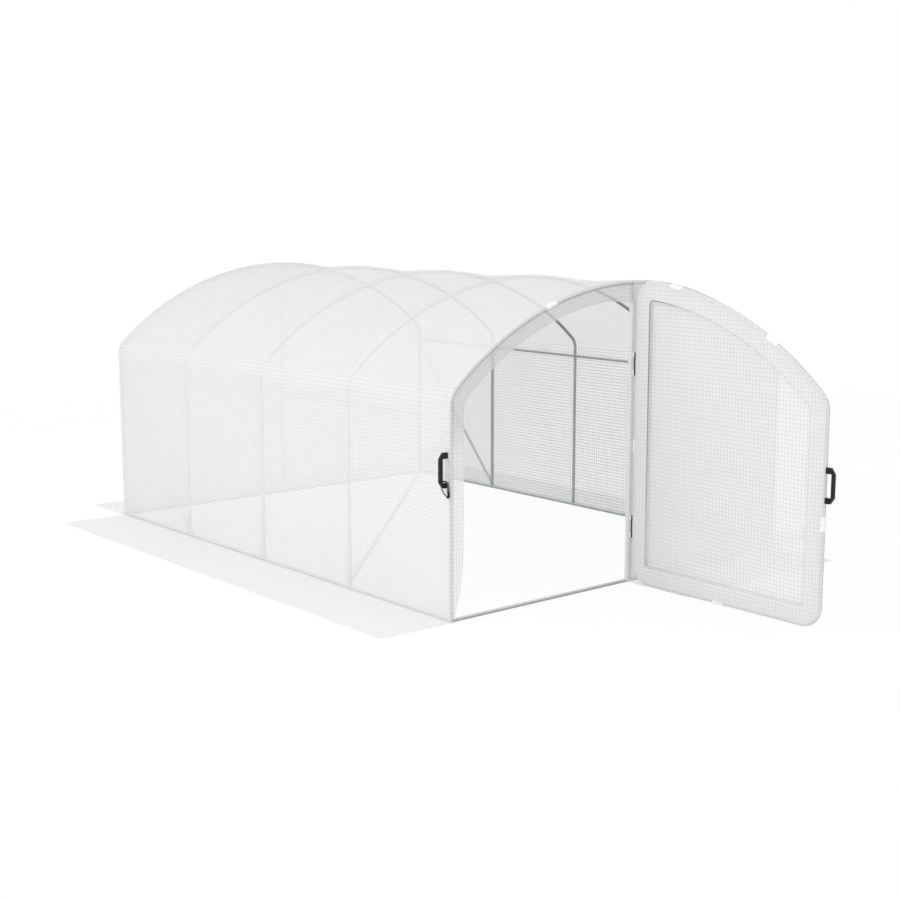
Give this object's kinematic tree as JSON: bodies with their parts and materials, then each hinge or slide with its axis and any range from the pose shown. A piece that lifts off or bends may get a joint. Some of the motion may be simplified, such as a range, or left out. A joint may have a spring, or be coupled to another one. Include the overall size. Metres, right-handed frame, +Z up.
{
  "type": "polytunnel greenhouse",
  "caption": "Walk-in polytunnel with bent tube hoops, reinforced film cover, ground skirts, a fixed front panel and a hinged half-arch door.",
  "frame": {"origin": "centre of the foot of the front centre post, on the ground, in the plane of the front hoop", "axes": "+X towards the right side as seen from the front, +Y along the tunnel to the back, +Z up"},
  "size_m": [4.0152, 6.0904, 1.9484],
  "materials": {
    "galvanised_tube": "dull zinc",
    "film": "translucent, with a reinforcing grid",
    "clip_plastic": "smooth white",
    "black_plastic": "satin",
    "black_metal": "satin",
    "hook_steel": "polished"
  },
  "bodies": {
    "tunnel": {"posts_left": "galvanised_tube", "posts_right": "galvanised_tube", "hoop_front": "galvanised_tube", "hoop_second": "galvanised_tube", "hoop_middle": "galvanised_tube", "hoop_fourth": "galvanised_tube", "hoop_back": "galvanised_tube", "centre_post_front": "galvanised_tube", "centre_post_back": "galvanised_tube", "ground_rails_left": "galvanised_tube", "ground_rails_right": "galvanised_tube", "threshold_bar": "galvanised_tube", "back_ground_bar": "galvanised_tube", "purlins_left": "galvanised_tube", "purlins_right": "galvanised_tube", "braces_left": "galvanised_tube", "braces_right": "galvanised_tube", "cover_wall_left": "film", "cover_wall_right": "film", "cover_shoulder_left": "film", "cover_shoulder_right": "film", "cover_roof_1": "film", "cover_roof_2": "film", "cover_roof_3": "film", "cover_roof_4": "film", "cover_roof_5": "film", "cover_roof_6": "film", "cover_back": "film", "cover_front": "film", "cover_lip": "film", "skirt_left": "film", "skirt_right": "film", "skirt_back": "film", "skirt_front": "film", "hoop_clips": "clip_plastic", "jamb_handle": "black_plastic", "snap_hook": "hook_steel", "hinge_post_leaves": "black_metal"},
    "door": {"hinge_door_leaves": "black_metal", "door_frame": "galvanised_tube", "door_film": "film", "door_hem": "film", "door_clips": "clip_plastic", "door_handle": "black_plastic"}
  },
  "joints": [
    {"name": "door_hinge", "type": "hinge", "parent": "tunnel", "child": "door", "pos_m": [0, -0.0367, 0.9], "axis": [0, 0, 1], "range_deg": [-90, 82]}
  ]
}
